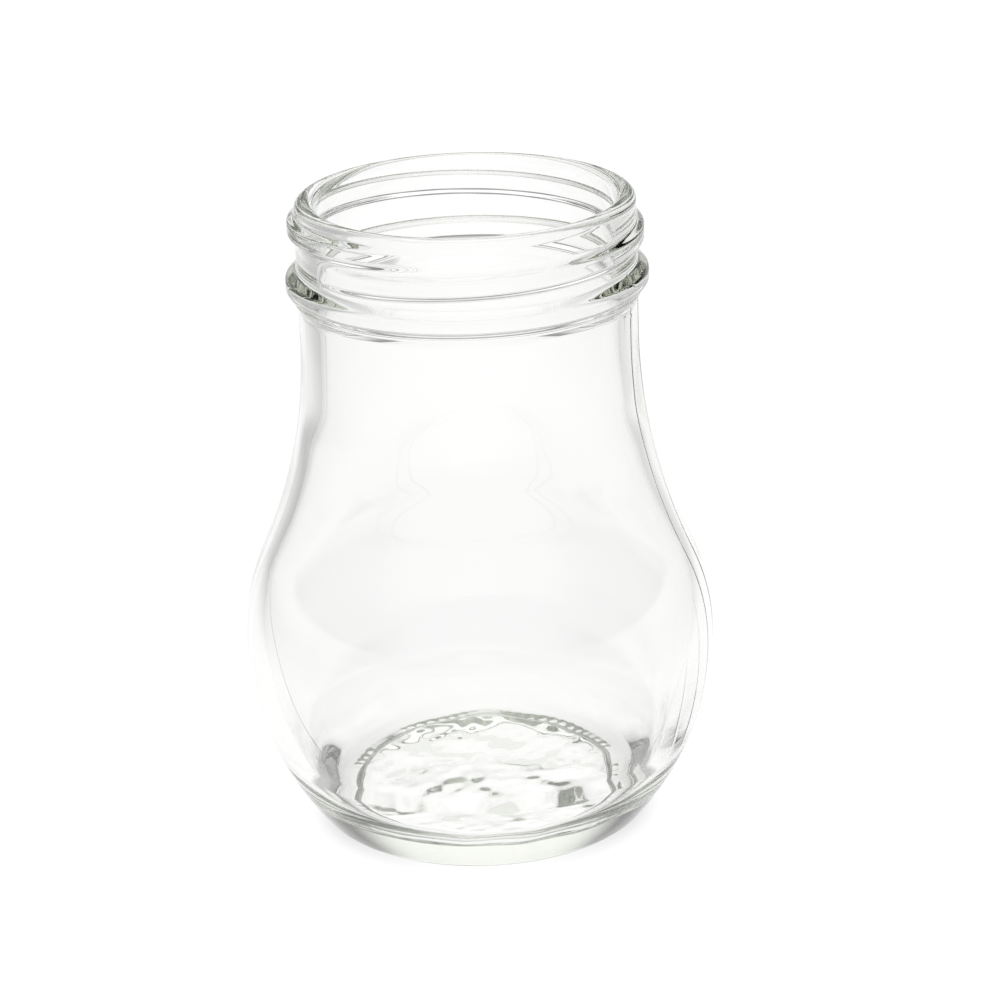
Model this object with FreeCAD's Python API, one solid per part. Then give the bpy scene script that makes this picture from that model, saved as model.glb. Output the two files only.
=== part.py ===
"""Clear glass jar for a syrup dispenser: pear-shaped body, wide round neck, bead and screw thread for a
lid, thick pushed-up base. One piece of pressed and blown glass, so one solid.

Frame: millimetres, +Z up, origin on the jar's axis in the plane that it stands on.
"""

import math
import os

import FreeCAD
import Part

# ---- driving dimensions, in millimetres and degrees ----

HEIGHT = 97.7  # standing plane to the top of the rim

BELLY_RADIUS = 35.5  # outside, at the widest level
BELLY_LEVEL = 30.0  # height of the widest level
LOWER_CURVE = 44.0  # radius of the side's curve below the widest level
UPPER_CURVE = 30.0  # radius of the side's curve above it
NECK_RADIUS = 25.1  # outside of the neck, also the thread's root
NECK_DROP = 20.6  # rim to the level where the shoulder's hollow curve runs into the straight neck

HEEL_CURVE = 5.0  # rounding between the side and the standing ring
RING_WIDTH = 1.4  # flat ring that the jar stands on, before its inner edge is rounded
PUSH_UP = 1.0  # height of the flat hollow under the base
PUSH_UP_FLANK = 0.7  # width of the slope between the ring and the hollow's flat top
PUSH_UP_CURVE = 0.5  # rounding at both ends of that slope

NECK_WALL = 3.0
BELLY_WALL = 2.5
FLOOR_LEVEL = 6.8  # top of the floor at the axis, above the standing plane
FLOOR_RISE = 0.8  # how much higher the floor is where its corner starts
FLOOR_CORNER = 10.0  # rounding between the floor and the inside of the wall

RIM_OUTER_CURVE = 1.3
RIM_INNER_CURVE = 1.3

BEAD_DROP = 12.2  # rim to the middle of the bead
BEAD_ABOVE = 2.2  # middle of the bead to its upper root, before the corners are rounded
BEAD_CREST = 1.8  # height of the bead's outer face, before rounding
BEAD_REACH = 1.7  # how far the bead stands out from the neck
BEAD_CREST_CURVE = 1.0
BEAD_ROOT_CURVE = 0.9

PARTING_DROP = 14.3  # rim to the joint between the neck mould and the body mould, under the bead
PARTING_STEP = 0.3  # width of the small ledge that the joint leaves
PARTING_FLARE = 0.75  # how far the ledge's edge stands out from the neck
PARTING_FALL = 1.6  # ledge down to the plain neck
PARTING_EDGE_CURVE = 0.12
PARTING_ROOT_CURVE = 1.6

THREAD_PITCH = 4.23  # six turns to the inch
THREAD_DROP = 2.7  # rim to the middle of the ridge at its upper end
THREAD_TURN = 410.0  # degrees from the upper end to the lower end
THREAD_START = 260.0  # direction of the upper end, anticlockwise from +X
THREAD_REACH = 1.1  # how far the ridge stands out from the neck
THREAD_HEIGHT = 4.0  # of the ridge where it leaves the neck
THREAD_CREST = 1.3  # height of the ridge's outer face
THREAD_FADE = 30.0  # degrees over which each end sinks into the neck
THREAD_SINK = 0.6  # depth of the ridge's root inside the neck wall
SECTION_STEP = 10.0  # degrees between the ridge's cross-sections


def vec(radius, height, angle=0.0):
    """The point at this radius and height, in the plane at this angle in degrees from +X."""
    turn = math.radians(angle)
    return FreeCAD.Vector(radius * math.cos(turn), radius * math.sin(turn), height)


def line(start, end):
    return Part.LineSegment(vec(*start), vec(*end)).toShape()


def arc(centre, radius, start, end):
    """The arc about centre from the direction of start to the direction of end, by the shorter way."""
    first = math.atan2(start[1] - centre[1], start[0] - centre[0])
    last = math.atan2(end[1] - centre[1], end[0] - centre[0])
    turn = (last - first + math.pi) % (2 * math.pi) - math.pi
    return Part.Arc(*[
        vec(centre[0] + radius * math.cos(a), centre[1] + radius * math.sin(a))
        for a in (first, first + turn / 2, last)
    ]).toShape()


def towards(start, end, distance):
    """The point at this distance from start, on the way to end."""
    share = distance / math.dist(start, end)
    return tuple(a + (b - a) * share for a, b in zip(start, end))


def rounded(corners):
    """Edges along a broken line of (radius, height, rounding) corners. Its two ends aren't rounded."""
    edges = []
    here = corners[0][:2]
    for before, corner, after in zip(corners, corners[1:], corners[2:]):
        point, curve = corner[:2], corner[2]
        to_before = towards(point, before[:2], 1.0)
        to_after = towards(point, after[:2], 1.0)
        half = math.acos(
            (to_before[0] - point[0]) * (to_after[0] - point[0])
            + (to_before[1] - point[1]) * (to_after[1] - point[1])
        ) / 2
        middle = ((to_before[0] + to_after[0]) / 2, (to_before[1] + to_after[1]) / 2)
        centre = towards(point, middle, curve / math.sin(half))
        start = towards(point, before[:2], curve / math.tan(half))
        end = towards(point, after[:2], curve / math.tan(half))
        edges.append(line(here, start))
        edges.append(arc(centre, curve, start, end))
        here = end
    edges.append(line(here, corners[-1][:2]))
    return edges


class Side:
    """The pear-shaped side, outside or inside: two belly curves that meet at the widest level, then a
    hollow shoulder curve that runs into the straight neck. belly_wall and neck_wall are how far it lies
    inside the outer surface, which has none of either."""

    def __init__(self, belly_wall, neck_wall):
        self.lower = LOWER_CURVE - belly_wall
        self.upper = UPPER_CURVE - belly_wall
        self.widest = (BELLY_RADIUS - belly_wall, BELLY_LEVEL)
        self.neck_start = (NECK_RADIUS - neck_wall, HEIGHT - NECK_DROP)
        self.lower_centre = (self.widest[0] - self.lower, BELLY_LEVEL)
        self.upper_centre = (self.widest[0] - self.upper, BELLY_LEVEL)
        # the hollow curve ends upright at the neck and is tangent to the upper belly curve
        across = self.neck_start[0] - self.upper_centre[0]
        rise = self.neck_start[1] - BELLY_LEVEL
        self.hollow = (across**2 + rise**2 - self.upper**2) / (2 * (self.upper - across))
        self.hollow_centre = (self.neck_start[0] + self.hollow, self.neck_start[1])
        self.turning = towards(self.upper_centre, self.hollow_centre, self.upper)

    def meets(self, curve, level):
        """Centre and upper end of a rounding of this radius, tangent to the lower curve and to the flat
        surface at this level."""
        down = BELLY_LEVEL - level - curve
        across = math.sqrt((self.lower - curve) ** 2 - down**2)
        centre = (self.lower_centre[0] + across, level + curve)
        return centre, towards(self.lower_centre, centre, self.lower)

    def edges(self, start):
        """The side's edges from start, a point on the lower curve, up to the neck."""
        return [
            arc(self.lower_centre, self.lower, start, self.widest),
            arc(self.upper_centre, self.upper, self.widest, self.turning),
            arc(self.hollow_centre, self.hollow, self.turning, self.neck_start),
        ]


def base_edges(outside):
    """Push-up, standing ring and heel, from the axis outwards, and the heel's upper end."""
    heel_centre, heel_end = outside.meets(HEEL_CURVE, 0.0)
    ring_outer = (heel_centre[0], 0.0)
    ring_inner = (ring_outer[0] - RING_WIDTH, 0.0)
    hollow = rounded([
        (0.0, PUSH_UP),
        (ring_inner[0] - PUSH_UP_FLANK, PUSH_UP, PUSH_UP_CURVE),
        (*ring_inner, PUSH_UP_CURVE),
        ring_outer,
    ])
    return hollow + [arc(heel_centre, HEEL_CURVE, ring_outer, heel_end)], heel_end


def finish_edges(outside, inside):
    """Neck, bead and rim as one rounded outline, from the outside of the neck over the rim to the inside."""
    bead = HEIGHT - BEAD_DROP
    parting = HEIGHT - PARTING_DROP
    out = NECK_RADIUS + BEAD_REACH
    return rounded([
        outside.neck_start,
        (NECK_RADIUS, parting - PARTING_FALL, PARTING_ROOT_CURVE),
        (NECK_RADIUS + PARTING_FLARE, parting, PARTING_EDGE_CURVE),
        (NECK_RADIUS + PARTING_FLARE - PARTING_STEP, parting, PARTING_EDGE_CURVE),
        (out, bead - BEAD_CREST / 2, BEAD_CREST_CURVE),
        (out, bead + BEAD_CREST / 2, BEAD_CREST_CURVE),
        (NECK_RADIUS, bead + BEAD_ABOVE, BEAD_ROOT_CURVE),
        (NECK_RADIUS, HEIGHT, RIM_OUTER_CURVE),
        (NECK_RADIUS - NECK_WALL, HEIGHT, RIM_INNER_CURVE),
        inside.neck_start,
    ])


def floor_edges(inside):
    """The floor, from the wall's rounding in to the axis, and the rounding's upper end."""
    level = FLOOR_LEVEL + FLOOR_RISE
    corner_centre, corner_end = inside.meets(FLOOR_CORNER, level)
    corner_start = (corner_centre[0], level)
    bowl = (corner_start[0] ** 2 + FLOOR_RISE**2) / (2 * FLOOR_RISE)
    return [
        arc(corner_centre, FLOOR_CORNER, corner_end, corner_start),
        arc((0.0, FLOOR_LEVEL + bowl), bowl, corner_start, (0.0, FLOOR_LEVEL)),
    ], corner_end


def jar_body():
    """The jar without its thread, turned about the axis from one closed outline."""
    outside, inside = Side(0.0, 0.0), Side(BELLY_WALL, NECK_WALL)
    base, heel_end = base_edges(outside)
    floor, corner_end = floor_edges(inside)
    inner_side = inside.edges(corner_end)
    edges = base + outside.edges(heel_end) + finish_edges(outside, inside) + inner_side + floor
    edges.append(line((0.0, PUSH_UP), (0.0, FLOOR_LEVEL)))
    outline = Part.Wire(Part.__sortEdges__(edges))
    return Part.Face(outline).revolve(vec(0, 0), FreeCAD.Vector(0, 0, 1), 360)


def fade(turn):
    """How much of the ridge stands at this many degrees from its upper end, from 0 to 1."""
    share = min(turn, THREAD_TURN - turn, THREAD_FADE) / THREAD_FADE
    return share * share * (3 - 2 * share)


def ridge_section(turn):
    """The ridge's cross-section at this many degrees below its upper end. Its flanks keep their slope as
    the crest sinks, and at both ends of the ridge it lies wholly inside the neck wall."""
    angle = THREAD_START - turn
    level = HEIGHT - THREAD_DROP - THREAD_PITCH * turn / 360
    root = NECK_RADIUS - THREAD_SINK
    crest = NECK_RADIUS - THREAD_SINK / 2 + (THREAD_SINK / 2 + THREAD_REACH) * fade(turn)
    slope = (THREAD_HEIGHT - THREAD_CREST) / 2 / THREAD_REACH
    half_crest = THREAD_CREST / 2
    half_root = half_crest + slope * (crest - root)
    corners = [
        vec(root, level - half_root, angle),
        vec(crest, level - half_crest, angle),
        vec(crest, level + half_crest, angle),
        vec(root, level + half_root, angle),
    ]
    return Part.makePolygon(corners + corners[:1])


def thread():
    count = round(THREAD_TURN / SECTION_STEP)
    sections = [ridge_section(THREAD_TURN * k / count) for k in range(count + 1)]
    return Part.makeLoft(sections, True, False)


def main():
    os.makedirs("parts", exist_ok=True)
    jar = jar_body().fuse(thread())
    solid = jar.Solids[0]
    if len(jar.Solids) != 1 or not solid.isValid():
        raise ValueError("the jar isn't one valid solid")
    solid.exportStep("parts/glass_jar.step")
    print(f"glass_jar: {solid.Volume / 1000:.1f} cm3 of glass, {len(solid.Faces)} faces")


main()
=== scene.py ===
"""Looks of the syrup dispenser's glass jar: one closed glass mesh with a moulded thread, an uneven blown
wall, mould seams, a notched standing ring and a seed bubble, on a pale table that glows with painted light
and painted shade, in soft studio light.

The outline is worked out in millimetres from the same sizes as the CAD part, turned into rings of points
and made uneven ring by ring. Everything put into the scene is in metres.
"""

import math

import bpy
import numpy as np
from mathutils import Matrix, Vector


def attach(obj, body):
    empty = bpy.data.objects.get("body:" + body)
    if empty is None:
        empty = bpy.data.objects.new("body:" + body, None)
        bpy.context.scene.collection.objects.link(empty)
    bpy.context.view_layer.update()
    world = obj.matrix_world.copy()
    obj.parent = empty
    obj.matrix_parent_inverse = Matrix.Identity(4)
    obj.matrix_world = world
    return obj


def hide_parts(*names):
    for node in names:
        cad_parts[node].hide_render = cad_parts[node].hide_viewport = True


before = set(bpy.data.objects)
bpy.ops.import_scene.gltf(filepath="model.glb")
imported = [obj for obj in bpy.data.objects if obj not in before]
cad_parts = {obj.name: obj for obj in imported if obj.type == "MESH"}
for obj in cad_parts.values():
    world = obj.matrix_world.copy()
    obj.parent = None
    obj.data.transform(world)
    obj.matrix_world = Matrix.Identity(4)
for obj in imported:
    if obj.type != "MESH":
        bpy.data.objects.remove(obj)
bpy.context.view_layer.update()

MM = 0.001

# ---- the jar's sizes in millimetres, the same as in the CAD part ----

HEIGHT = 97.7

BELLY_RADIUS = 35.5
BELLY_LEVEL = 30.0
LOWER_CURVE = 44.0
UPPER_CURVE = 30.0
NECK_RADIUS = 25.1
NECK_DROP = 20.6

HEEL_CURVE = 5.0
RING_WIDTH = 1.4
PUSH_UP = 1.0
PUSH_UP_FLANK = 0.7
PUSH_UP_CURVE = 0.5

NECK_WALL = 3.0
BELLY_WALL = 2.5
FLOOR_LEVEL = 6.8
FLOOR_RISE = 0.8
FLOOR_CORNER = 10.0

RIM_OUTER_CURVE = 1.3
RIM_INNER_CURVE = 1.3

BEAD_DROP = 12.2
BEAD_ABOVE = 2.2
BEAD_CREST = 1.8
BEAD_REACH = 1.7
BEAD_CREST_CURVE = 1.0
BEAD_ROOT_CURVE = 0.9

PARTING_DROP = 14.3
PARTING_STEP = 0.3
PARTING_FLARE = 0.75
PARTING_FALL = 1.6
PARTING_EDGE_CURVE = 0.12
PARTING_ROOT_CURVE = 1.6

THREAD_PITCH = 4.23
THREAD_DROP = 2.7
THREAD_TURN = 410.0
THREAD_START = 260.0
THREAD_REACH = 1.1
THREAD_HEIGHT = 4.0
THREAD_CREST = 1.3
THREAD_FADE = 30.0

# ---- what only the real glass has, in millimetres and degrees ----

SEED = 7

WALL_WAVE = 0.45  # how much thicker the blown wall is in places, always inwards
WALL_FADE_ABOVE = 14.0  # the waves grow over this height from the neck down
WALL_FADE_BELOW = 6.0  # and from the floor up

SETTLE_LEVEL = 64.0  # height of the band of thicker glass round the shoulder
SETTLE_WANDER = 1.8  # how far the band strays from that level round the jar
SETTLE_WAVE = 0.25
SETTLE_WIDTH = 3.5
SETTLE_EVEN = 0.6  # share of the band's thickness that is the same all round
SETTLE_READ_LEVEL = 40.0  # level at which the wall's waves are read for the rest of it

FLOOR_WAVE = 0.22  # unevenness of the floor's top
FLOOR_FADE = 3.0  # height above the floor over which it dies out
FLOOR_TILT = 0.08  # slope of the floor, thicker at the back than at the front
TILT_REACH = 7.0  # height above the floor up to which the inside leans with it
TILT_FADE = 6.0

ROOF_WAVE = 0.045  # unevenness of the push-up, under the floor
ROOF_WIDE_SHARE = 1.6  # strength of its wide waves against its short ones

SKIN_WAVE = 0.03  # how far the mould's skin dips below the true outside
SKIN_FADE_ABOVE = 5.0
SKIN_FADE_BELOW = 8.0

KNURLS = 75  # small notches round the standing ring
KNURL_DEPTH = 0.12
KNURL_WEAR = 0.6  # lower values leave longer stretches of the ring without notches
KNURL_INNER_EDGE = 0.4  # distances from the ring's edges over which the notches run out
KNURL_OUTER_EDGE = 0.3

SEAM_ANGLES = (-7.0, 173.0)  # where the two halves of the body mould met
SEAM_HEIGHT = 0.06
SEAM_WIDTH = 0.3
SEAM_FADE = 4.0  # height above the heel over which a seam grows

THREAD_FULLNESS = 0.12  # widens the thread's smooth ridge to the width of the CAD part's
THREAD_ZONE_BELOW = 1.5  # how far below the bead's upper root the thread may reach

BUBBLE_ANGLE = -17.0
BUBBLE_LEVEL = 80.5
BUBBLE_RADIUS = 0.36
BUBBLE_TAIL = 3.2  # length of the drawn-out end below it
BUBBLE_TAIL_RADIUS = 0.09
BUBBLE_ROWS = 28
BUBBLE_SIDES = 16
BUBBLE_CROWDING = 1.6  # above 1, the rows are closer together on the ball than on the tail

WAVE_PEAK = 1.5  # brings the highest of a field's summed waves down to about 1

# ---- mesh density ----

STEP_ANGLE = 1.2  # degrees between columns of points, four columns to a notch
SEAM_OFFSETS = (-1.5, -1.1, -0.8, -0.55, -0.3, 0.0, 0.3, 0.55, 0.8, 1.1, 1.5)  # columns about a seam
FINE_STEP = 0.25  # between rings of points over the neck finish, in millimetres
RING_STEP = 0.24  # over the standing ring and the push-up's edge
BASE_STEP = 0.6  # over the push-up, the heel and the floor's corner
SIDE_STEP = 1.8  # over the side and the floor
SAME_POINT = 0.001  # points of the outline closer than this are one

# ---- the outline, as (radius, height) points in millimetres ----


def towards(start, end, distance):
    """The point at this distance from start on the line through end."""
    share = distance / math.dist(start, end)
    return tuple(a + (b - a) * share for a, b in zip(start, end))


def arc(centre, radius, start, end, step):
    """Points on the arc about centre from the direction of start to that of end, by the shorter way."""
    first = math.atan2(start[1] - centre[1], start[0] - centre[0])
    last = math.atan2(end[1] - centre[1], end[0] - centre[0])
    turn = (last - first + math.pi) % (2 * math.pi) - math.pi
    count = max(3, math.ceil(abs(turn) * radius / step))
    ways = [first + turn * k / count for k in range(count + 1)]
    return [(centre[0] + radius * math.cos(way), centre[1] + radius * math.sin(way)) for way in ways]


def straight(start, end, step):
    """Points on the line from start to end."""
    count = max(1, math.ceil(math.dist(start, end) / step))
    return [tuple(a + (b - a) * k / count for a, b in zip(start, end)) for k in range(count + 1)]


def rounded(corners, step):
    """Points along a broken line of (radius, height, rounding) corners."""
    points = []
    here = corners[0][:2]
    for before, corner, after in zip(corners, corners[1:], corners[2:]):
        point, curve = corner[:2], corner[2]
        a, b = towards(point, before[:2], 1.0), towards(point, after[:2], 1.0)
        half = math.acos(sum((p - o) * (q - o) for p, q, o in zip(a, b, point))) / 2
        centre = towards(point, ((a[0] + b[0]) / 2, (a[1] + b[1]) / 2), curve / math.sin(half))
        start = towards(point, before[:2], curve / math.tan(half))
        end = towards(point, after[:2], curve / math.tan(half))
        points += straight(here, start, step) + arc(centre, curve, start, end, step)
        here = end
    return points + straight(here, corners[-1][:2], step)


class Side:
    """The pear-shaped side, outside or inside, as in the CAD part."""

    def __init__(self, belly_wall, neck_wall):
        self.lower = LOWER_CURVE - belly_wall
        self.upper = UPPER_CURVE - belly_wall
        self.widest = (BELLY_RADIUS - belly_wall, BELLY_LEVEL)
        self.neck_start = (NECK_RADIUS - neck_wall, HEIGHT - NECK_DROP)
        self.lower_centre = (self.widest[0] - self.lower, BELLY_LEVEL)
        self.upper_centre = (self.widest[0] - self.upper, BELLY_LEVEL)
        across = self.neck_start[0] - self.upper_centre[0]
        rise = self.neck_start[1] - BELLY_LEVEL
        self.hollow = (across**2 + rise**2 - self.upper**2) / (2 * (self.upper - across))
        self.hollow_centre = (self.neck_start[0] + self.hollow, self.neck_start[1])
        self.turning = towards(self.upper_centre, self.hollow_centre, self.upper)

    def meets(self, curve, level):
        """Centre of the rounding between a flat at this level and the side, and where it meets the side."""
        down = BELLY_LEVEL - level - curve
        centre = (self.lower_centre[0] + math.sqrt((self.lower - curve) ** 2 - down**2), level + curve)
        return centre, towards(self.lower_centre, centre, self.lower)

    def points(self, start):
        """Points up the side from start, a point on the lower curve, to the straight neck."""
        return (
            arc(self.lower_centre, self.lower, start, self.widest, SIDE_STEP)
            + arc(self.upper_centre, self.upper, self.widest, self.turning, SIDE_STEP)
            + arc(self.hollow_centre, self.hollow, self.turning, self.neck_start, SIDE_STEP)
        )


RING_OUTER = Side(0.0, 0.0).meets(HEEL_CURVE, 0.0)[0][0]
RING_INNER = RING_OUTER - RING_WIDTH


def outline():
    """The whole outline from the axis under the base, round the outside and the rim, to the axis on the
    floor, with a name for the stretch that each point is on."""
    outside, inside = Side(0.0, 0.0), Side(BELLY_WALL, NECK_WALL)
    heel_centre, heel_end = outside.meets(HEEL_CURVE, 0.0)
    bead = HEIGHT - BEAD_DROP
    parting = HEIGHT - PARTING_DROP
    out = NECK_RADIUS + BEAD_REACH
    level = FLOOR_LEVEL + FLOOR_RISE
    floor_centre, floor_end = inside.meets(FLOOR_CORNER, level)
    floor_start = (floor_centre[0], level)
    bowl = (floor_start[0] ** 2 + FLOOR_RISE**2) / (2 * FLOOR_RISE)
    stretches = [
        ("roof", straight((0.0, PUSH_UP), (RING_INNER - 2 * PUSH_UP_FLANK, PUSH_UP), BASE_STEP)),
        ("ring", rounded([
            (RING_INNER - 2 * PUSH_UP_FLANK, PUSH_UP),
            (RING_INNER - PUSH_UP_FLANK, PUSH_UP, PUSH_UP_CURVE),
            (RING_INNER, 0.0, PUSH_UP_CURVE),
            (RING_OUTER, 0.0),
        ], RING_STEP)),
        ("heel", arc(heel_centre, HEEL_CURVE, (RING_OUTER, 0.0), heel_end, BASE_STEP)),
        ("outside", outside.points(heel_end)),
        ("finish", rounded([
            outside.neck_start,
            (NECK_RADIUS, parting - PARTING_FALL, PARTING_ROOT_CURVE),
            (NECK_RADIUS + PARTING_FLARE, parting, PARTING_EDGE_CURVE),
            (NECK_RADIUS + PARTING_FLARE - PARTING_STEP, parting, PARTING_EDGE_CURVE),
            (out, bead - BEAD_CREST / 2, BEAD_CREST_CURVE),
            (out, bead + BEAD_CREST / 2, BEAD_CREST_CURVE),
            (NECK_RADIUS, bead + BEAD_ABOVE, BEAD_ROOT_CURVE),
            (NECK_RADIUS, HEIGHT, RIM_OUTER_CURVE),
            (NECK_RADIUS - NECK_WALL, HEIGHT, RIM_INNER_CURVE),
            (NECK_RADIUS - NECK_WALL, HEIGHT - 2 * RIM_INNER_CURVE),
        ], FINE_STEP)),
        ("inside", straight(
            (NECK_RADIUS - NECK_WALL, HEIGHT - 2 * RIM_INNER_CURVE), inside.neck_start, SIDE_STEP
        )),
        ("inside", inside.points(floor_end)[::-1]),
        ("corner", arc(floor_centre, FLOOR_CORNER, floor_end, floor_start, BASE_STEP)),
        ("floor", arc((0.0, FLOOR_LEVEL + bowl), bowl, floor_start, (0.0, FLOOR_LEVEL), SIDE_STEP)),
    ]
    points, names = [], []
    for name, stretch in stretches:
        for point in stretch:
            if not points or math.dist(point, points[-1]) > SAME_POINT:
                points.append(point)
                names.append(name)
    return np.array(points), names


def smooth(x):
    """From 0 to 1 without corners, as x goes from 0 to 1."""
    x = np.clip(x, 0.0, 1.0)
    return x * x * (3 - 2 * x)


def hump(x, width):
    """A round hill of height 1 at x = 0."""
    return np.exp(-((x / width) ** 2))


def thread_height(angle, level):
    """How far the thread stands out at these angles in degrees and this level, as an array."""
    reach = np.zeros_like(angle)
    for lap in (0, 1):
        turn = (THREAD_START - angle) % 360 + 360 * lap
        centre = HEIGHT - THREAD_DROP - THREAD_PITCH * turn / 360
        ends = smooth(np.minimum(turn, THREAD_TURN - turn) / THREAD_FADE)
        off = np.abs(level - centre)
        flank = (THREAD_HEIGHT - THREAD_CREST) / 2
        ridge = smooth((THREAD_HEIGHT / 2 - off) / flank + THREAD_FULLNESS)
        reach = np.maximum(reach, THREAD_REACH * ends * ridge)
    return reach


class WallWaves:
    """A smooth uneven field over a turned surface, from about -1 to 1: waves round it and up its side."""

    def __init__(self, rng, count, around, shortest, longest):
        self.around = rng.integers(around[0], around[1] + 1, count)
        self.upward = 2 * np.pi / rng.uniform(shortest, longest, count) * rng.choice((-1, 1), count)
        self.phase = rng.uniform(0, 2 * np.pi, count)

    def __call__(self, angle, level):
        turn = np.radians(angle)[:, None]
        waves = np.sin(self.around * turn + self.upward * level + self.phase)
        return waves.sum(1) / math.sqrt(len(self.phase)) / WAVE_PEAK


class FlatWaves:
    """A smooth uneven field over a flat surface, from about -1 to 1: straight waves in all directions."""

    def __init__(self, rng, count, shortest, longest):
        size = 2 * np.pi / rng.uniform(shortest, longest, count)
        way = rng.uniform(0, 2 * np.pi, count)
        self.waves = np.stack([size * np.cos(way), size * np.sin(way)])
        self.phase = rng.uniform(0, 2 * np.pi, count)

    def __call__(self, radius, angle):
        turn = np.radians(angle)
        flat = np.stack([radius * np.cos(turn), radius * np.sin(turn)], 1)
        return np.sin(flat @ self.waves + self.phase).sum(1) / math.sqrt(len(self.phase)) / WAVE_PEAK


def columns():
    """The angles of the columns of points in degrees, closer together about the two mould seams."""
    even = np.arange(0.0, 360.0, STEP_ANGLE)
    for seam in SEAM_ANGLES:
        away = (even - seam + 180) % 360 - 180
        even = even[np.abs(away) > SEAM_OFFSETS[-1] + STEP_ANGLE / 2]
    close = [(seam + offset) % 360 for seam in SEAM_ANGLES for offset in SEAM_OFFSETS]
    return np.sort(np.concatenate([even, close]))


def uneven_radii(name, radius, level, angle, fields):
    """The radii of one ring at all angles, with the thread, the seams and the wall's unevenness."""
    neck = HEIGHT - NECK_DROP
    parting = HEIGHT - PARTING_DROP
    out = np.full(len(angle), radius)
    if name == "finish" and radius > NECK_RADIUS - SAME_POINT:
        if level > HEIGHT - BEAD_DROP + BEAD_ABOVE - THREAD_ZONE_BELOW:
            out = np.maximum(out, NECK_RADIUS + thread_height(angle, level))
    if name in ("inside", "corner"):
        wall = fields["wall"]
        share = smooth((neck - level) / WALL_FADE_ABOVE)
        share *= smooth((level - FLOOR_LEVEL - FLOOR_RISE) / WALL_FADE_BELOW)
        out -= WALL_WAVE * share * (0.5 + 0.5 * wall(angle, level))
        off = level - SETTLE_LEVEL - SETTLE_WANDER * wall(angle, 0.0)
        settled = SETTLE_EVEN + (1 - SETTLE_EVEN) * wall(angle, SETTLE_READ_LEVEL)
        out -= SETTLE_WAVE * hump(off, SETTLE_WIDTH) * settled
    if name == "outside":
        share = smooth((neck - level) / SKIN_FADE_ABOVE) * smooth((level - HEEL_CURVE) / SKIN_FADE_BELOW)
        out -= SKIN_WAVE * share * (0.5 + 0.5 * fields["skin"](angle, level))
    if name == "outside" or (name == "finish" and level < parting):
        share = smooth((level - HEEL_CURVE) / SEAM_FADE) * smooth((parting - level) / PARTING_FALL)
        for seam in SEAM_ANGLES:
            away = np.radians((angle - seam + 180) % 360 - 180) * radius
            out += SEAM_HEIGHT * share * hump(away, SEAM_WIDTH)
    return out


def uneven_levels(name, radius, level, angle, out, fields):
    """The heights of one ring at all angles, with the notches and the base's and the floor's unevenness;
    out holds the ring's radii."""
    high = np.full(len(angle), level)
    if name == "ring":
        notch = 0.5 - 0.5 * np.cos(np.radians(KNURLS * angle))
        worn = smooth(KNURL_WEAR + fields["skin"](angle, level))
        inner = smooth((radius - RING_INNER) / KNURL_INNER_EDGE)
        outer = smooth((RING_OUTER - radius) / KNURL_OUTER_EDGE)
        high += KNURL_DEPTH * notch * worn * inner * outer
    if name in ("roof", "ring"):
        share = smooth((RING_INNER - PUSH_UP_FLANK / 2 - radius) / PUSH_UP_FLANK)
        waves = fields["roof"](out, angle) + ROOF_WIDE_SHARE * fields["roof_wide"](out, angle)
        high += ROOF_WAVE * share * waves
    if name in ("floor", "corner"):
        above = level - FLOOR_LEVEL - FLOOR_RISE
        high += FLOOR_WAVE * smooth((FLOOR_FADE - above) / FLOOR_FADE) * fields["floor"](out, angle)
        leaning = smooth((TILT_REACH - above) / TILT_FADE)
        high += FLOOR_TILT * leaning * radius * np.sin(np.radians(angle))
    return high


def turned_faces(rows, around):
    """Faces of a closed turned mesh: a first point, rows of points round the axis, and a last point."""
    last = 1 + rows * around
    faces = []
    for j in range(around):
        k = (j + 1) % around
        faces.append((0, 1 + k, 1 + j))
        for i in range(rows - 1):
            a, b = 1 + i * around, 1 + (i + 1) * around
            faces.append((a + j, a + k, b + k, b + j))
        top = 1 + (rows - 1) * around
        faces.append((last, top + j, top + k))
    return faces


def make_body():
    """Points and faces of the jar itself, in millimetres."""
    rng = np.random.default_rng(SEED)
    fields = {
        "wall": WallWaves(rng, count=9, around=(1, 5), shortest=35.0, longest=110.0),
        "skin": WallWaves(rng, count=12, around=(3, 12), shortest=14.0, longest=50.0),
        "roof": FlatWaves(rng, count=26, shortest=2.2, longest=4.5),
        "roof_wide": FlatWaves(rng, count=12, shortest=5.0, longest=9.0),
        "floor": FlatWaves(rng, count=14, shortest=7.0, longest=18.0),
    }
    points, names = outline()
    angle = columns()
    turn = np.radians(angle)
    rings = []
    for (radius, level), name in zip(points[1:-1], names[1:-1]):
        out = uneven_radii(name, radius, level, angle, fields)
        high = uneven_levels(name, radius, level, angle, out, fields)
        rings.append(np.stack([out * np.cos(turn), out * np.sin(turn), high], 1))
    roof = [0, 0, rings[0][:, 2].mean()]
    floor = [0, 0, rings[-1][:, 2].mean()]
    return np.concatenate([[roof], *rings, [floor]]), turned_faces(len(rings), len(angle))


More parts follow.
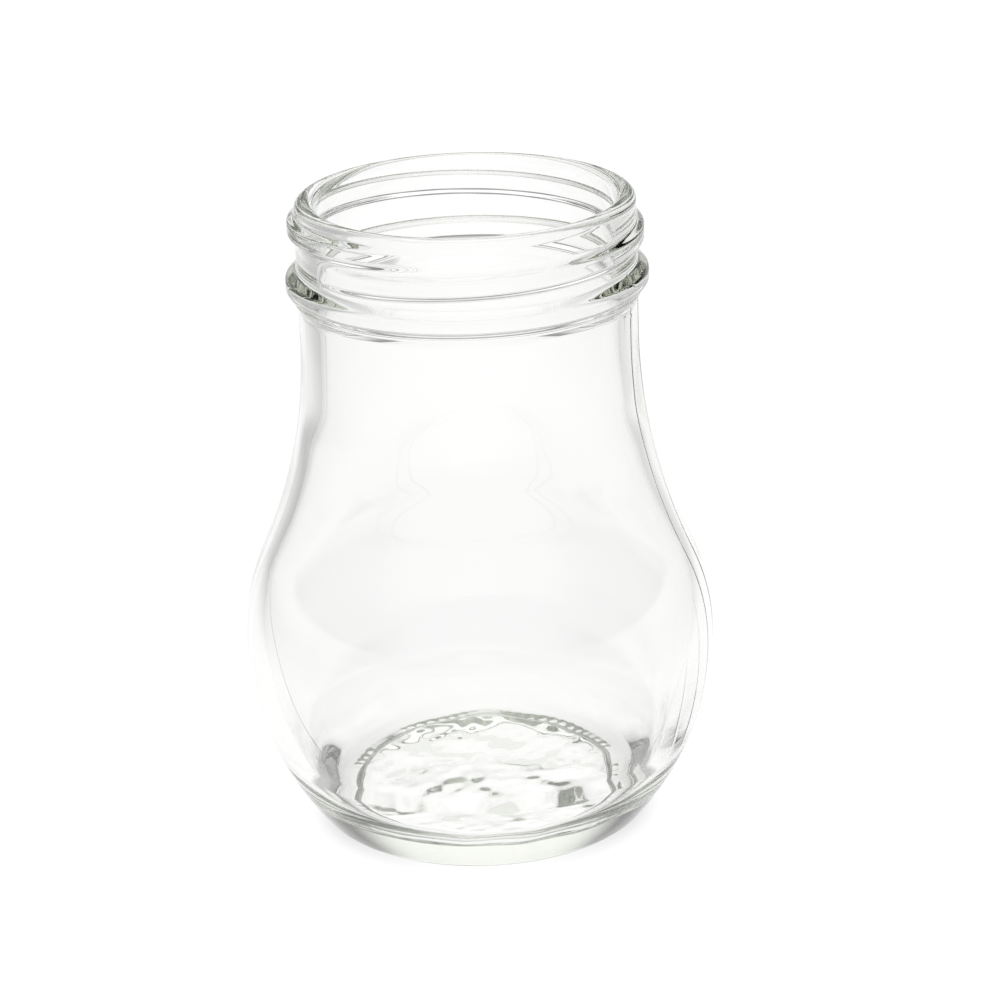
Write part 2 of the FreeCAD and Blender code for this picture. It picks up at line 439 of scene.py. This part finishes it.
def make_bubble():
    """A seed bubble in the neck wall with a drawn-out end below it, as a void whose faces look inwards."""
    share = np.linspace(0.0, 1.0, BUBBLE_ROWS + 1)[1:-1]
    length = BUBBLE_TAIL + 2 * BUBBLE_RADIUS
    z = BUBBLE_RADIUS - length * share**BUBBLE_CROWDING
    ball = np.sqrt(np.clip(BUBBLE_RADIUS**2 - z**2, 0.0, None))
    tail = BUBBLE_TAIL_RADIUS * np.sqrt(1 - share) * (z < 0)
    turn = np.arange(BUBBLE_SIDES) * 2 * np.pi / BUBBLE_SIDES
    facing = math.radians(BUBBLE_ANGLE)
    outwards = np.array([math.cos(facing), math.sin(facing), 0.0])
    sideways = np.array([-math.sin(facing), math.cos(facing), 0.0])
    upwards = np.array([0.0, 0.0, 1.0])
    centre = (NECK_RADIUS - NECK_WALL / 2) * outwards + BUBBLE_LEVEL * upwards
    around = np.cos(turn)[:, None] * outwards + np.sin(turn)[:, None] * sideways
    points = [centre + BUBBLE_RADIUS * upwards]
    for radius, high in zip(np.maximum(ball, tail), z):
        points.extend(centre + radius * around + high * upwards)
    points.append(centre + (BUBBLE_RADIUS - length) * upwards)
    return np.array(points), turned_faces(len(z), BUBBLE_SIDES)


def make_jar():
    body, body_faces = make_body()
    void, void_faces = make_bubble()
    faces = body_faces + [tuple(len(body) + corner for corner in face) for face in void_faces]
    mesh = bpy.data.meshes.new("glass_jar_body")
    mesh.from_pydata((np.concatenate([body, void]) * MM).tolist(), [], faces)
    mesh.validate()
    mesh.shade_smooth()
    jar = bpy.data.objects.new("jar_glass", mesh)
    bpy.context.scene.collection.objects.link(jar)
    print("triangles", sum(len(face) - 2 for face in faces))
    return jar


# ---- material ----

GLASS_INDEX = 1.51
GLASS_TINT = (0.74, 0.76, 0.7)  # what thick glass lets through
GLASS_DENSITY = 22.0
RIPPLE_SCALE = 150.0  # fine ripples of the mould's skin, per metre
RIPPLE_HEIGHT = 0.00012
RIPPLE_STRENGTH = 0.12
HAZE_SCALE = 55.0  # patches of handling haze
HAZE_DETAIL = 4.0
HAZE_START = 0.45  # noise values between which the haze grows
HAZE_END = 0.75
HAZE_ROUGHNESS = 0.03


class Graph:
    """Short ways to add the nodes of a material or a world."""

    def __init__(self, tree):
        self.nodes, self.links = tree.nodes, tree.links

    def feed(self, socket, value):
        if isinstance(value, (int, float)):
            socket.default_value = value
        else:
            self.links.new(value, socket)

    def math(self, operation, *values):
        node = self.nodes.new("ShaderNodeMath")
        node.operation = operation
        for socket, value in zip(node.inputs, values):
            self.feed(socket, value)
        return node.outputs[0]

    def share(self, value, start, end, shape="SMOOTHSTEP"):
        """From 0 to 1 as the value goes from start to end."""
        node = self.nodes.new("ShaderNodeMapRange")
        node.interpolation_type = shape
        for socket, number in zip(node.inputs, (value, start, end)):
            self.feed(socket, number)
        return node.outputs[0]

    def mix(self, share, first, second):
        return self.math("ADD", first, self.math("MULTIPLY", share, self.math("SUBTRACT", second, first)))

    def ramp(self, value, stops):
        node = self.nodes.new("ShaderNodeValToRGB")
        elements = node.color_ramp.elements
        while len(elements) < len(stops):
            elements.new(0.5)
        for element, (position, grey) in zip(elements, stops):
            element.position = position
            element.color = (grey, grey, grey, 1)
        self.feed(node.inputs[0], value)
        return node.outputs[0]

    def noise(self, place, scale, detail):
        node = self.nodes.new("ShaderNodeTexNoise")
        node.inputs["Scale"].default_value = scale
        node.inputs["Detail"].default_value = detail
        self.links.new(place, node.inputs["Vector"])
        return node.outputs["Fac"]

    def split(self, vector):
        node = self.nodes.new("ShaderNodeSeparateXYZ")
        self.links.new(vector, node.inputs[0])
        return node.outputs


def glass_material():
    """Clear glass with a faint grey-green tint, fine ripples of the mould's skin and a little haze. The
    neck finish above the parting ledge has neither ripples nor haze."""
    material = bpy.data.materials.new("clear_glass")
    material.use_nodes = True
    graph = Graph(material.node_tree)
    shader = graph.nodes["Principled BSDF"]
    shader.inputs["Base Color"].default_value = (1, 1, 1, 1)
    shader.inputs["Transmission Weight"].default_value = 1.0
    shader.inputs["IOR"].default_value = GLASS_INDEX
    place = graph.nodes.new("ShaderNodeTexCoord").outputs["Object"]
    plain_above = (HEIGHT - PARTING_DROP - PARTING_FALL) * MM
    rippled_below = (HEIGHT - NECK_DROP) * MM
    moulded = graph.share(graph.split(place)["Z"], plain_above, rippled_below, "LINEAR")
    bump = graph.nodes.new("ShaderNodeBump")
    bump.inputs["Distance"].default_value = RIPPLE_HEIGHT
    graph.feed(bump.inputs["Strength"], graph.math("MULTIPLY", moulded, RIPPLE_STRENGTH))
    graph.feed(bump.inputs["Height"], graph.noise(place, RIPPLE_SCALE, 0.0))
    graph.feed(shader.inputs["Normal"], bump.outputs["Normal"])
    haze = graph.share(graph.noise(place, HAZE_SCALE, HAZE_DETAIL), HAZE_START, HAZE_END, "LINEAR")
    haze = graph.math("MULTIPLY", graph.math("MULTIPLY", haze, HAZE_ROUGHNESS), moulded)
    graph.feed(shader.inputs["Roughness"], haze)
    volume = graph.nodes.new("ShaderNodeVolumeAbsorption")
    volume.inputs["Color"].default_value = (*GLASS_TINT, 1)
    volume.inputs["Density"].default_value = GLASS_DENSITY
    graph.feed(graph.nodes["Material Output"].inputs["Volume"], volume.outputs["Volume"])
    return material


# ---- studio, in metres ----

# brightness by the sine of the height above the horizon, seen from the jar towards each quarter
BACKDROP = ((0.0, 1.0), (0.09, 1.0), (0.12, 0.28), (0.24, 0.28), (0.36, 1.35), (0.7, 1.25), (1.0, 1.15))
FLAGS = ((0.0, 0.74), (0.09, 0.72), (0.12, 0.07), (0.7, 0.07), (0.92, 0.5), (1.0, 0.8))
ROOM = ((0.0, 0.54), (0.4, 0.54), (0.8, 0.75), (1.0, 1.0))
BACKDROP_EDGE = (0.7, 0.95)  # cosines of the turn away from the back, from the flags to the backdrop
ROOM_EDGE = (-0.35, -0.85)  # and from the flags to the room in front

TABLE_SIZE = 12.0
TABLE_LEVEL = -0.0002  # just under the jar, so that the two surfaces don't coincide
# painted light and shade on the table: its glow is a painted pool of light, with painted shade beside it, to
# the front and far away
TABLE_LIGHT = 1.04  # the painted pool of light that the jar stands in, glowing from the table itself
POOL_HALF_WIDTH = 0.08
POOL_SPREAD = 0.14  # how much wider the pool gets per metre towards the back and the front
POOL_FADE = 0.06  # how fast the painted light falls off beyond it
TABLE_LEFT = 0.55  # painted brightness of the table beside the pool, darker as painted shade
TABLE_RIGHT = 0.72
TABLE_MIDDLE = 0.05  # half the width of the change from left to right
TABLE_FRONT = 0.88
FRONT_START = 0.1  # how far back the table starts to change to the front's brightness
FRONT_END = -0.2
TABLE_FAR = 0.74
FAR_START = 0.3  # sideways distances over which the table changes to the far brightness
FAR_END = 1.2
CONTACT_SHADE = 0.3  # painted contact shadow: how much the table's glow is darkened at the two sides of the base, under the heel
CONTACT_RADIUS = 0.0225
CONTACT_WIDTH = 0.003
TINY = 1e-6


def painted_table_light(graph, x, y):
    """Brightness of the table at a place, all painted light: a painted pool of light along Y, with painted
    shade beside it.
    """
    wide = graph.math("ADD", POOL_HALF_WIDTH, graph.math("MULTIPLY", graph.math("ABSOLUTE", y), POOL_SPREAD))
    outside = graph.math("MAXIMUM", graph.math("SUBTRACT", graph.math("ABSOLUTE", x), wide), 0.0)
    pool = graph.math("EXPONENT", graph.math("DIVIDE", outside, -POOL_FADE))
    right = graph.share(x, -TABLE_MIDDLE, TABLE_MIDDLE)
    beside = graph.mix(right, TABLE_LEFT, TABLE_RIGHT)
    beside = graph.mix(graph.share(y, FRONT_START, FRONT_END), beside, TABLE_FRONT)
    beside = graph.mix(graph.share(graph.math("ABSOLUTE", x), FAR_START, FAR_END), beside, TABLE_FAR)
    return graph.mix(pool, beside, TABLE_LIGHT)


def painted_contact_shadow(graph, x, y):
    """How much painted contact shadow darkens the table's glow at a place under the heel, most at the jar's
    two sides.
    """
    across = graph.math("MULTIPLY", x, x)
    square = graph.math("ADD", across, graph.math("MULTIPLY", y, y))
    off = graph.math("SUBTRACT", graph.math("SQRT", square), CONTACT_RADIUS)
    off = graph.math("DIVIDE", off, CONTACT_WIDTH)
    under = graph.math("EXPONENT", graph.math("MULTIPLY", graph.math("MULTIPLY", off, off), -1.0))
    sideways = graph.math("DIVIDE", across, graph.math("MAXIMUM", square, TINY))
    return graph.math("MULTIPLY", graph.math("MULTIPLY", under, sideways), CONTACT_SHADE)


def make_stage():
    """A pale table that shines by itself, with painted light and shade: a painted pool of light, painted
    shade beside it and a painted contact shadow under the heel.
    """
    bpy.ops.mesh.primitive_plane_add(size=TABLE_SIZE, location=(0, 0, TABLE_LEVEL))
    floor = bpy.context.object
    floor.name = "floor"
    material = bpy.data.materials.new("painted_light_table")
    material.use_nodes = True
    graph = Graph(material.node_tree)
    shader = graph.nodes["Principled BSDF"]
    shader.inputs["Base Color"].default_value = (0.0, 0.0, 0.0, 1)
    shader.inputs["Specular IOR Level"].default_value = 0.0
    shader.inputs["Emission Color"].default_value = (1, 1, 1, 1)
    x, y, _ = graph.split(graph.nodes.new("ShaderNodeNewGeometry").outputs["Position"])
    # the table's glow is painted light, darkened by the painted contact shadow
    lit = graph.math("SUBTRACT", 1.0, painted_contact_shadow(graph, x, y))
    graph.feed(shader.inputs["Emission Strength"], graph.math("MULTIPLY", painted_table_light(graph, x, y), lit))
    floor.data.materials.append(material)


def make_lights():
    """The studio round the jar: a backdrop, dark flags at both sides and the room in front."""
    world = bpy.data.worlds.new("studio")
    bpy.context.scene.world = world
    world.use_nodes = True
    graph = Graph(world.node_tree)
    x, y, z = graph.split(graph.nodes.new("ShaderNodeTexCoord").outputs["Generated"])
    flat = graph.math("SQRT", graph.math("ADD", graph.math("MULTIPLY", x, x), graph.math("MULTIPLY", y, y)))
    back = graph.math("DIVIDE", y, graph.math("MAXIMUM", flat, TINY))
    light = graph.mix(graph.share(back, *BACKDROP_EDGE), graph.ramp(z, FLAGS), graph.ramp(z, BACKDROP))
    light = graph.mix(graph.share(back, *ROOM_EDGE), light, graph.ramp(z, ROOM))
    graph.feed(graph.nodes["Background"].inputs["Strength"], light)
    graph.nodes["Background"].inputs["Color"].default_value = (1, 1, 1, 1)


# ---- camera, in metres and radians ----

CAMERA_AWAY = 0.518  # in front of the jar's axis
CAMERA_HEIGHT = 0.239
CAMERA_PITCH = 0.350  # downwards
CAMERA_YAW = 0.0072
CAMERA_ROLL = -0.033
LENS = 131.8  # in millimetres, for a sensor of SENSOR millimetres
SENSOR = 36.0
BOUNCES = 32  # enough for light to find its way through the thick base


def make_camera():
    """The camera at the viewing angle of the picture."""
    data = bpy.data.cameras.new("camera")
    data.lens = LENS
    data.sensor_width = SENSOR
    data.clip_start = 0.01
    camera = bpy.data.objects.new("camera", data)
    forward = Vector((
        math.sin(CAMERA_YAW) * math.cos(CAMERA_PITCH),
        math.cos(CAMERA_YAW) * math.cos(CAMERA_PITCH),
        -math.sin(CAMERA_PITCH),
    ))
    right = Vector((math.cos(CAMERA_YAW), -math.sin(CAMERA_YAW), 0.0))
    up = right.cross(forward)
    rolled_right = right * math.cos(CAMERA_ROLL) + up * math.sin(CAMERA_ROLL)
    rolled_up = -right * math.sin(CAMERA_ROLL) + up * math.cos(CAMERA_ROLL)
    turn = Matrix((rolled_right, rolled_up, -forward)).transposed()
    camera.matrix_world = Matrix.Translation((0, -CAMERA_AWAY, CAMERA_HEIGHT)) @ turn.to_4x4()
    bpy.context.scene.collection.objects.link(camera)
    bpy.context.scene.camera = camera


jar = make_jar()
jar.data.materials.append(glass_material())
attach(jar, "root")
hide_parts("glass_jar")
make_stage()
make_lights()
make_camera()

scene = bpy.context.scene
scene.view_settings.view_transform = "Standard"
scene.cycles.max_bounces = BOUNCES
scene.cycles.transmission_bounces = BOUNCES
scene.cycles.glossy_bounces = BOUNCES
